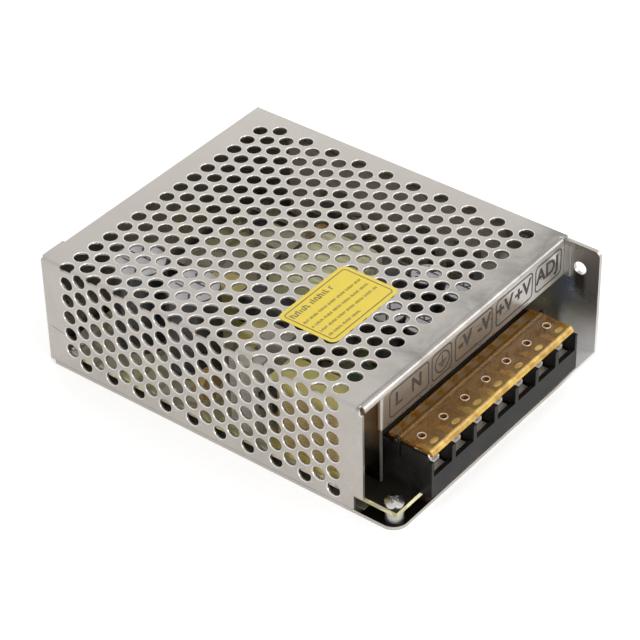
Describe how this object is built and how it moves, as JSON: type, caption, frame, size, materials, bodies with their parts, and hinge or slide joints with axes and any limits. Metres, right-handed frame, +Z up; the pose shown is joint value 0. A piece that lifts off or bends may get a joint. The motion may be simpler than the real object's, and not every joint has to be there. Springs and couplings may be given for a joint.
{
  "type": "mesh case switching power supply",
  "caption": "Enclosed switching power supply: folded sheet chassis, perforated cover, screw terminal strip with a hinged amber cover, and a populated circuit board inside.",
  "frame": {"origin": "middle of the underside of the bounding box", "axes": "+Z up, -Y the side with the terminals, +X towards the side wall that carries the mounting hole"},
  "size_m": [0.098, 0.1298, 0.0378],
  "materials": {
    "chassis_metal": "satin, rolled sheet",
    "cover_metal": "satin, rolled and plated sheet",
    "plated_steel": "bright plated",
    "tinned_brass": "tinned",
    "bar_metal": "extruded",
    "label_film": "printed film",
    "insulating_film": "translucent film",
    "board_laminate": "solder lacquer",
    "black_plastic": "moulded",
    "amber_plastic": "clear moulded",
    "black_epoxy": "moulded",
    "ferrite": "ground",
    "yellow_tape": "wound tape",
    "tan_tape": "wound tape",
    "yellow_plastic": "moulded box",
    "blue_lacquer": "dipped",
    "can_sleeve": "shrunk sleeve, bare aluminium top",
    "core_coating": "powder coat",
    "copper_wire": "enamelled",
    "fuse_ceramic": "glazed",
    "dark_disc": "lacquered",
    "resistor_lacquer": "lacquered",
    "blue_plastic": "moulded",
    "white_plastic": "moulded",
    "lamp_green": "clear moulded"
  },
  "bodies": {
    "case": {"chassis": "chassis_metal", "top_cover": "cover_metal", "cover_screws": "plated_steel", "board_screws": "plated_steel", "heatsink_screws": "plated_steel", "transistor_clamps": "plated_steel", "fuse_clips": "plated_steel", "standoffs": "plated_steel", "terminal_plates": "tinned_brass", "heatsink_bar": "bar_metal", "yellow_label": "label_film", "insulating_sheet": "insulating_film", "circuit_board": "board_laminate", "terminal_block": "black_plastic", "power_transistors": "black_epoxy", "bridge_rectifier": "black_epoxy", "control_chip": "black_epoxy", "transformer_core": "ferrite", "line_filter_core": "ferrite", "transformer_winding": "yellow_tape", "line_filter_winding": "yellow_tape", "driver_transformer": "tan_tape", "line_choke": "yellow_plastic", "film_capacitors": "yellow_plastic", "disc_capacitors": "blue_lacquer", "bulk_capacitors": "can_sleeve", "output_capacitors": "can_sleeve", "inductor_core": "core_coating", "inductor_winding": "copper_wire", "fuse": "fuse_ceramic", "inrush_thermistor": "dark_disc", "resistors": "resistor_lacquer", "trimmer_body": "blue_plastic", "power_lamp": "lamp_green"},
    "clamp_1": {"clamp_1": "plated_steel"},
    "clamp_2": {"clamp_2": "plated_steel"},
    "clamp_3": {"clamp_3": "plated_steel"},
    "clamp_4": {"clamp_4": "plated_steel"},
    "clamp_5": {"clamp_5": "plated_steel"},
    "clamp_6": {"clamp_6": "plated_steel"},
    "clamp_7": {"clamp_7": "plated_steel"},
    "screw_1": {"screw_1": "plated_steel"},
    "screw_2": {"screw_2": "plated_steel"},
    "screw_3": {"screw_3": "plated_steel"},
    "screw_4": {"screw_4": "plated_steel"},
    "screw_5": {"screw_5": "plated_steel"},
    "screw_6": {"screw_6": "plated_steel"},
    "screw_7": {"screw_7": "plated_steel"},
    "terminal_cover": {"terminal_cover": "amber_plastic"},
    "trimmer_rotor": {"trimmer_rotor": "white_plastic"}
  },
  "joints": [
    {"name": "clamp_1_lift", "type": "slide", "parent": "case", "child": "clamp_1", "axis": [0, 0, 1], "range_m": [0, 0.003]},
    {"name": "screw_1_turn", "type": "hinge", "parent": "clamp_1", "child": "screw_1", "pos_m": [-0.03221, -0.0577, 0.014], "axis": [0, 0, 1], "range_deg": [0, 1801]},
    {"name": "clamp_2_lift", "type": "slide", "parent": "case", "child": "clamp_2", "axis": [0, 0, 1], "range_m": [0, 0.003]},
    {"name": "screw_2_turn", "type": "hinge", "parent": "clamp_2", "child": "screw_2", "pos_m": [-0.02221, -0.0577, 0.014], "axis": [0, 0, 1], "range_deg": [0, 1801]},
    {"name": "clamp_3_lift", "type": "slide", "parent": "case", "child": "clamp_3", "axis": [0, 0, 1], "range_m": [0, 0.003]},
    {"name": "screw_3_turn", "type": "hinge", "parent": "clamp_3", "child": "screw_3", "pos_m": [-0.01221, -0.0577, 0.014], "axis": [0, 0, 1], "range_deg": [0, 1801]},
    {"name": "clamp_4_lift", "type": "slide", "parent": "case", "child": "clamp_4", "axis": [0, 0, 1], "range_m": [0, 0.003]},
    {"name": "screw_4_turn", "type": "hinge", "parent": "clamp_4", "child": "screw_4", "pos_m": [-0.00221, -0.0577, 0.014], "axis": [0, 0, 1], "range_deg": [0, 1801]},
    {"name": "clamp_5_lift", "type": "slide", "parent": "case", "child": "clamp_5", "axis": [0, 0, 1], "range_m": [0, 0.003]},
    {"name": "screw_5_turn", "type": "hinge", "parent": "clamp_5", "child": "screw_5", "pos_m": [0.00779, -0.0577, 0.014], "axis": [0, 0, 1], "range_deg": [0, 1801]},
    {"name": "clamp_6_lift", "type": "slide", "parent": "case", "child": "clamp_6", "axis": [0, 0, 1], "range_m": [0, 0.003]},
    {"name": "screw_6_turn", "type": "hinge", "parent": "clamp_6", "child": "screw_6", "pos_m": [0.01779, -0.0577, 0.014], "axis": [0, 0, 1], "range_deg": [0, 1801]},
    {"name": "clamp_7_lift", "type": "slide", "parent": "case", "child": "clamp_7", "axis": [0, 0, 1], "range_m": [0, 0.003]},
    {"name": "screw_7_turn", "type": "hinge", "parent": "clamp_7", "child": "screw_7", "pos_m": [0.02779, -0.0577, 0.014], "axis": [0, 0, 1], "range_deg": [0, 1801]},
    {"name": "terminal_cover_hinge", "type": "hinge", "parent": "case", "child": "terminal_cover", "pos_m": [-0.0022, -0.053, 0.02095], "axis": [-1, 0, 0], "range_deg": [0, 95]},
    {"name": "trimmer_turn", "type": "hinge", "parent": "case", "child": "trimmer_rotor", "pos_m": [0.03629, -0.0471, 0.0104], "axis": [0, 1, 0], "range_deg": [-135, 135]}
  ],
  "couplings": [
    {"joint": "screw_1_turn", "follows": "clamp_1_lift", "rad_per_m": 10472},
    {"joint": "screw_2_turn", "follows": "clamp_2_lift", "rad_per_m": 10472},
    {"joint": "screw_3_turn", "follows": "clamp_3_lift", "rad_per_m": 10472},
    {"joint": "screw_4_turn", "follows": "clamp_4_lift", "rad_per_m": 10472},
    {"joint": "screw_5_turn", "follows": "clamp_5_lift", "rad_per_m": 10472},
    {"joint": "screw_6_turn", "follows": "clamp_6_lift", "rad_per_m": 10472},
    {"joint": "screw_7_turn", "follows": "clamp_7_lift", "rad_per_m": 10472}
  ]
}
